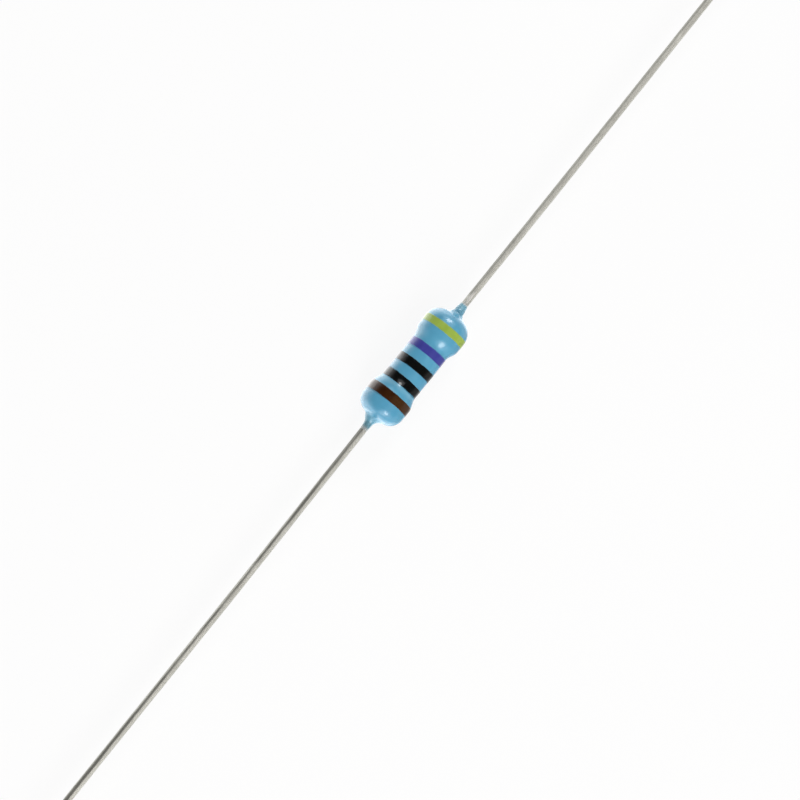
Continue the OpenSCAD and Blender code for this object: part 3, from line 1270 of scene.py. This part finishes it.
@dataclass
class Lead:
    """A tinned wire lead, welded to its cap.

    Attributes:
        end: The end of the part that it leaves.
        tarnish: Its painted shade streak and painted highlight.
        slot: Material slot of the record; not used.
        sides: Corners round the wire.
        step: Spacing of the rows along the wire.
        fine_step: Spacing of the rows near the corners of its outline.
        stray: How far the wire strays from a straight line.
        sway: Length over which it strays to +Y and back, by radian, and where it starts, in radians.
        lift: Length over which it strays to +Z and back, and how much later that starts.
        bare: Distances from its foot between which it starts to stray.
        set_off: How far it stands to +Y where it leaves the lacquer.
        settle: Distances from its foot between which it comes back to the axis.
        ripples: Slow unevenness of its surface.
    """

    end: End
    tarnish: Tarnish
    slot: str = "tinned_wire"
    sides: int = 48
    step: float = 0.12 * MM
    fine_step: float = 0.012 * MM
    stray: float = 0.012 * MM
    sway: Span = (4.3 * MM, -0.9)
    lift: Span = (5.9 * MM, 2.0)
    bare: Span = (0.9 * MM, 2.5 * MM)
    set_off: float = 0.0
    settle: Span = (3.0 * MM, 12.0 * MM)
    ripples: tuple[Ripple, ...] = (
        Ripple(0.0016 * MM, 2, 3.7 * MM, 0.3),
        Ripple(0.0012 * MM, 3, -1.9 * MM, 2.2),
        Ripple(0.0010 * MM, 1, 0.83 * MM, 1.1),
    )

    def __post_init__(self) -> None:
        """Read the outline of the CAD node."""
        self.node = f"{self.end.value}_lead"
        self.outline = Outline.of_node(self.node)

    def build(self) -> bpy.types.Object:
        """Make the wire from its weld to its tip.

        Returns:
            The new piece.
        """
        corners = self.outline.xs
        start, stop = float(corners[0]), float(corners[-1])
        even = np.linspace(start, stop, int(round((stop - start) / self.step)))
        near = np.concatenate([corners + k * self.fine_step for k in (-2, -1, 0, 1, 2)])
        near = near[(near >= start) & (near <= stop)]
        x = np.unique(np.round(np.concatenate([even, near]), DECIMALS))[:, None]
        angle = spin(self.sides)[None, :]
        out = np.abs(x)
        past_foot = out - np.abs(corners).min()
        bare = smooth_step(past_foot, *self.bare)
        radius = self.outline.radius(x)
        for ripple in self.ripples:
            radius = radius + bare * ripple.at(x, angle)
        (length, phase), (lift_length, delay) = self.sway, self.lift
        stands = neck_share(out) - smooth_step(past_foot, *self.settle)
        y = bare * self.stray * np.sin(out / length + phase) + self.set_off * stands
        z = bare * self.stray * np.sin(out / lift_length + delay + phase)
        return skin_grid(f"{self.end.value}_wire", turned(x, radius, angle, y, z), closed=False)

    def dress(self, piece: bpy.types.Object, effects: Effects) -> None:
        """Give the wire its tin and put it in place of its CAD node.

        Args:
            piece: The wire.
            effects: The shared effects.
        """
        half_way = 0.5 * (self.outline.xs[0] + self.outline.xs[-1])
        finish = WireFinish(
            name=f"tinned_wire_{self.end.value}",
            tone=(0.72, 0.715, 0.65),
            second_tone=(0.61, 0.605, 0.545),
            drift_scale=600.0,
            gloss=0.4,
            rubbed=0.52,
            line_scale=26000.0,
            line_depth=1.2 * MICRON,
            metallic=0.5,
            radius=float(self.outline.radius(half_way)),
            tarnish=self.tarnish,
            # Dark tone of the painted shade, and near-white tone of the painted highlight.
            tarnish_tone=(0.22, 0.218, 0.195),
            painted_highlight_tone=(0.98, 0.97, 0.92),
        )
        hand_over(piece, self.node, finish.material(effects))


@dataclass
class InnerParts:
    """The CAD pieces under the lacquer, which keep their shape and get a finish.

    Attributes:
        core: Finish of the ceramic rod.
        film: Finish of the metal film.
        cap: Finish of both end caps.
    """

    core: MattFinish = MattFinish(
        name="fired_ceramic", tone=(0.82, 0.79, 0.72), second_tone=(0.74, 0.70, 0.62),
        drift_scale=1600.0, gloss=0.62, rubbed=0.8,
    )
    film: MetalFinish = MetalFinish(
        name="metal_film", tone=(0.33, 0.32, 0.31), second_tone=(0.26, 0.25, 0.25),
        drift_scale=1900.0, gloss=0.3, rubbed=0.45, line_scale=21000.0, line_depth=0.5 * MICRON,
    )
    cap: MetalFinish = MetalFinish(
        name="drawn_cap", tone=(0.62, 0.61, 0.58), second_tone=(0.5, 0.49, 0.46),
        drift_scale=1500.0, gloss=0.26, rubbed=0.42, line_scale=24000.0, line_depth=1.5 * MICRON,
    )

    def dress(self, effects: Effects) -> None:
        """Give each inner CAD node its finish.

        Args:
            effects: The shared effects.
        """
        cap = self.cap.material(effects)
        finishes = {
            "ceramic_core": self.core.material(effects),
            "resistive_film": self.film.material(effects),
            "left_end_cap": cap,
            "right_end_cap": cap,
        }
        for node, material in finishes.items():
            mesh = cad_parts[node].data
            mesh.materials.clear()
            mesh.materials.append(material)
            log.info("%s: CAD node in %s", node, material.name)


def area_lamp(light: Light, size: Span, radiance: float,
              shape: LampShape = LampShape.RECTANGLE) -> bpy.types.Object:
    """Make a lamp with a flat face, which the camera doesn't see.

    Args:
        light: Which lamp.
        size: Width and height of its face.
        radiance: Brightness of its face.
        shape: Shape of its face.

    Returns:
        The lamp.
    """
    data = bpy.data.lights.new(light.value, "AREA")
    data.shape = shape.value
    data.size, data.size_y = size
    data.energy = radiance * math.pi * size[0] * size[1] * shape.filled
    lamp = put_in_scene(light.value, data)
    lamp.visible_camera = False
    return lamp


def lay_sheet(name: str, xs: Span, ys: Span, level: float, material: bpy.types.Material) -> bpy.types.Object:
    """Lay a flat sheet that belongs to the studio.

    Args:
        name: Name of the sheet.
        xs: Where it starts and stops along X.
        ys: Where it starts and stops along Y.
        level: Its height.
        material: Its finish.

    Returns:
        The sheet.
    """
    corners = [(xs[0], ys[0], level), (xs[1], ys[0], level), (xs[1], ys[1], level), (xs[0], ys[1], level)]
    mesh = bpy.data.meshes.new(name)
    mesh.from_pydata(corners, [], [(0, 1, 2, 3)])
    mesh.materials.append(material)
    sheet = put_in_scene(name, mesh)
    sheet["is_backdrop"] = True
    return sheet


def gather(name: str, pieces: list[bpy.types.Object]) -> bpy.types.Collection:
    """Gather the pieces that a lamp shows in.

    Args:
        name: Name of the new collection.
        pieces: The pieces.

    Returns:
        The collection.
    """
    group = bpy.data.collections.new(name)
    for piece in pieces:
        group.objects.link(piece)
    return group


@dataclass(frozen=True)
class Lamp:
    """A soft lamp that faces the part.

    Attributes:
        light: Which lamp.
        towards: Direction from the part to the lamp.
        distance: Distance from the part.
        size: Width and height of its face.
        radiance: Brightness of its face.
        shape: Shape of its face.
    """

    light: Light
    towards: tuple[float, float, float]
    distance: float
    size: Span
    radiance: float
    shape: LampShape = LampShape.RECTANGLE

    def hang(self) -> bpy.types.Object:
        """Hang the lamp.

        Returns:
            The lamp.
        """
        lamp = area_lamp(self.light, self.size, self.radiance, self.shape)
        direction = Vector(self.towards).normalized()
        lamp.location = direction * self.distance
        lamp.rotation_euler = direction.to_track_quat("Z", "Y").to_euler()
        return lamp


@dataclass(frozen=True)
class BrightCard:
    """A bright card on the floor, which only the lacquer and the rings reflect.

    Attributes:
        light: Which card.
        xs: Where it starts and stops along X.
        ys: Where it starts and stops along Y.
        radiance: Its brightness.
    """

    light: Light
    xs: Span
    ys: Span
    radiance: float

    def lay(self, level: float, lacquered: bpy.types.Collection) -> None:
        """Lay the card.

        Args:
            level: Its height.
            lacquered: The pieces that reflect it.
        """
        card = area_lamp(self.light, (self.xs[1] - self.xs[0], self.ys[1] - self.ys[0]), self.radiance)
        card.location = (0.5 * sum(self.xs), 0.5 * sum(self.ys), level)
        card.rotation_euler = (math.pi, 0.0, 0.0)
        card.visible_diffuse = False
        card.light_linking.receiver_collection = lacquered


@dataclass
class Studio:
    """Floor, lamps, surroundings and camera.

    Attributes:
        lens_mm: Focal length.
        sensor_mm: Width of the sensor.
        picture_px: Width of the picture.
        px_per_mm: Scale of the picture at the part.
        body_px: Where the middle of the body is in the picture, right and down.
        axis_angle: Angle of the left lead in the picture, above the horizontal to the right.
        axis_tilt: How far the left lead tips away from the picture's plane.
        clip: Nearest and furthest distance that the camera sees.
        floor: Where the floor starts and stops along X and Y.
        paper: Finish of the floor.
        card_lift: Height of the cards over the floor.
        grey_card_xs: Where the grey card starts and stops along X.
        grey_card_ys: Where the grey card starts and stops along Y.
        grey: Finish of the grey card.
        lamps: The two lamps whose spots show on the body.
        glows: The glow round each of them, which shows only in the lacquer.
        end_lamp: The lamp that shows in the right end.
        fill: The lamp that lights the +Y side.
        fill_tint: Its colour.
        cards: The bright cards, in strips beside the body and past its ends.
        horizon: Brightness of the surroundings near the floor.
        shade: Brightness of the surroundings near the floor on the +Y side.
        zenith: Brightness of the surroundings overhead.
        sides: Directions along Y between which the horizon goes to the shade.
        heights: Directions along Z between which the horizon goes to the zenith.
    """

    lens_mm: float = 100.0
    sensor_mm: float = 36.0
    picture_px: float = 800.0
    px_per_mm: float = 20.3
    body_px: Span = (414.9, 366.7)
    axis_angle: float = math.radians(51.3)
    axis_tilt: float = math.radians(5.5)
    clip: Span = (0.005, 20.0)
    floor: Span = (-2.0, 2.0)
    paper: FloorFinish = FloorFinish(
        name="white_paper", tone=(0.88, 0.88, 0.88), second_tone=(0.84, 0.84, 0.845),
        drift_scale=30.0, gloss=0.8, rubbed=0.9, rub_scale=40.0, glow=0.9,
    )
    card_lift: float = 0.02 * MM
    grey_card_xs: Span = (-3.4 * MM, 3.4 * MM)
    grey_card_ys: Span = (2.0 * MM, 60.0 * MM)
    grey: MattFinish = MattFinish(
        name="grey_card", tone=(0.42, 0.42, 0.42), second_tone=(0.38, 0.38, 0.38),
        drift_scale=200.0, gloss=0.8, rubbed=0.9,
    )
    lamps: tuple[Lamp, ...] = (
        Lamp(Light.ALONG, (-0.82, -0.095, 0.565), 0.32, (0.132, 0.132), 12.0, LampShape.ELLIPSE),
        Lamp(Light.ACROSS, (0.679, 0.548, 0.488), 0.32, (0.132, 0.132), 10.0, LampShape.ELLIPSE),
    )
    glows: tuple[Lamp, ...] = (
        Lamp(Light.ALONG_GLOW, (-0.72, -0.08, 0.69), 0.33, (0.34, 0.34), 1.7),
        Lamp(Light.ACROSS_GLOW, (0.72, 0.56, 0.4), 0.33, (0.34, 0.34), 1.7),
    )
    end_lamp: Lamp = Lamp(Light.END, (0.9, 0.3, 0.3), 0.33, (0.2, 0.16), 2.0)
    fill: Lamp = Lamp(Light.FILL, (0.1, 0.65, 0.75), 0.5, (0.5, 0.3), 2.6)
    fill_tint: Colour = (1.0, 0.95, 0.92)
    cards: tuple[BrightCard, ...] = (
        BrightCard(Light.SIDE_CARD, CARD_REACH, (-1.6 * MM, -1.2 * MM), SIDE_RADIANCE / 3.0),
        BrightCard(Light.SIDE_CARD, CARD_REACH, (-2.24 * MM, -1.6 * MM), 2.0 * SIDE_RADIANCE / 3.0),
        BrightCard(Light.SIDE_CARD, CARD_REACH, (CARD_REACH[0], -2.24 * MM), SIDE_RADIANCE),
        BrightCard(Light.LEFT_CARD, (-14.0 * MM, -3.5 * MM), (-0.96 * MM, 1.6 * MM), 1.28),
        BrightCard(Light.RIGHT_CARD, (3.5 * MM, 14.0 * MM), (-1.6 * MM, 2.4 * MM), 1.6),
    )
    horizon: float = 1.7
    shade: float = 0.15
    zenith: float = 0.07
    sides: Span = (-0.4, 0.4)
    heights: Span = (0.0, 0.6)

    def add_camera(self) -> None:
        """Set the camera over the part, as in the photograph."""
        angle, tilt = self.axis_angle, self.axis_tilt
        elevation = math.atan2(math.cos(tilt) * math.sin(angle), math.sin(tilt))
        across = math.cos(tilt) * math.cos(angle)
        away = math.sin(tilt) / math.cos(elevation)
        right = Vector((-across, away, 0.0)).normalized()
        ahead = Vector((-away, -across, 0.0)).normalized()
        up = math.sin(elevation) * ahead + math.cos(elevation) * Vector((0.0, 0.0, 1.0))
        back = right.cross(up)
        off_right, off_down = ((px - 0.5 * self.picture_px) / self.px_per_mm * MM for px in self.body_px)
        target = off_down * up - off_right * right
        distance = self.lens_mm * self.picture_px / self.px_per_mm / self.sensor_mm * MM
        data = bpy.data.cameras.new("camera")
        data.lens = self.lens_mm
        data.sensor_width = self.sensor_mm
        data.clip_start, data.clip_end = self.clip
        camera = put_in_scene("camera", data)
        turn = Matrix((right, up, back)).transposed().to_4x4()
        camera.matrix_world = Matrix.Translation(target + distance * back) @ turn
        bpy.context.scene.camera = camera

    def lay_floor(self, effects: Effects) -> None:
        """Lay the white floor, and on its +Y side a grey card that shows only in reflections.

        Args:
            effects: The shared effects.
        """
        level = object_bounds()[0].z
        lay_sheet("floor", self.floor, self.floor, level, self.paper.material(effects))
        card = lay_sheet("grey_card", self.grey_card_xs, self.grey_card_ys, level + self.card_lift,
                         self.grey.material(effects))
        card.visible_camera = False
        card.visible_diffuse = False
        card.visible_transmission = False
        card.visible_shadow = False

    def add_lamps(self, lacquered: list[bpy.types.Object]) -> None:
        """Hang the lamps and lay the bright cards.

        Args:
            lacquered: The pieces that the cards show in, and all but the last of them the lamps' glow.
        """
        shiny = gather("lacquered_pieces", lacquered)
        glowing = gather("pieces_with_the_glow", lacquered[:-1])
        for lamp in self.lamps:
            lamp.hang()
        for lamp in self.glows:
            glow = lamp.hang()
            glow.visible_diffuse = False
            glow.light_linking.receiver_collection = glowing
        self.end_lamp.hang()
        fill = self.fill.hang()
        fill.data.color = self.fill_tint
        fill.visible_glossy = False
        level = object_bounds()[0].z + self.card_lift
        for card in self.cards:
            card.lay(level, shiny)

    def add_surroundings(self) -> None:
        """Make the pale room: bright near the floor on the -Y side, dim overhead."""
        world = bpy.data.worlds.new("studio")
        world.use_nodes = True
        tree = ShaderTree(world.node_tree)
        split = tree.add("ShaderNodeSeparateXYZ")
        tree.feed(split.inputs[0], tree.add("ShaderNodeTexCoord").outputs["Generated"])
        low = tree.span(split.outputs["Y"], self.sides, (self.horizon, self.shade))
        level = tree.span(split.outputs["Z"], self.heights, (low, self.zenith))
        room = world.node_tree.nodes["Background"]
        tree.feed(room.inputs["Color"], WHITE)
        tree.feed(room.inputs["Strength"], level)
        backdrop = tree.run("ShaderNodeBackground", {"Color": WHITE})
        seen = tree.add("ShaderNodeLightPath").outputs["Is Camera Ray"]
        surface = world.node_tree.nodes["World Output"].inputs["Surface"]
        tree.feed(surface, tree.mix_shaders(seen, room.outputs[0], backdrop))
        bpy.context.scene.world = world


def main() -> None:
    """Build and dress every piece, then light it."""
    logging.basicConfig(level=logging.INFO, format="%(name)s: %(message)s")
    bpy.context.scene.view_settings.view_transform = "Standard"
    effects = Effects()
    coat = LacquerCoat()
    lacquered = [coat.build()]
    coat.dress(lacquered[0], effects)
    rings = (
        PaintedRing("first_digit_band", Paint.YELLOW, slant=-0.01 * MM, fan=0.02 * MM, seed=0.6),
        PaintedRing("second_digit_band", Paint.VIOLET, slant=-0.01 * MM, fan=0.08 * MM, seed=1.9),
        PaintedRing("third_digit_band", Paint.BLACK, slant=-0.01 * MM, fan=0.04 * MM, seed=3.1),
        PaintedRing("multiplier_band", Paint.BLACK, slant=0.075 * MM, fan=0.0, seed=4.4),
        PaintedRing("tolerance_band", Paint.BROWN, slant=0.01 * MM, fan=0.1 * MM, seed=5.2, pinch=0.025 * MM),
    )
    for ring in rings:
        piece = ring.build(coat)
        ring.dress(piece, effects)
        lacquered.append(piece)
    # Painted shade streaks along both wires, and a painted highlight on top of the left wire only.
    left = Tarnish(
        strengths=(0.5, 0.5), angles=(math.radians(45.0), math.radians(40.0)),
        start=4.35 * MM, painted_highlight_place=4.4 * MM,
    )
    right = Tarnish(
        strengths=(0.72, 0.95), angles=(math.radians(38.0), math.radians(20.0)),
        start=3.7 * MM, painted_highlight_place=0.0,
    )
    leads = (
        Lead(End.LEFT, left),
        Lead(End.RIGHT, right, sway=(8.5 * MM, 0.28), set_off=coat.right_set),
    )
    for lead in leads:
        lead.dress(lead.build(), effects)
    InnerParts().dress(effects)
    studio = Studio()
    studio.add_camera()
    studio.lay_floor(effects)
    studio.add_lamps(lacquered)
    studio.add_surroundings()


if __name__ == "__main__":
    main()
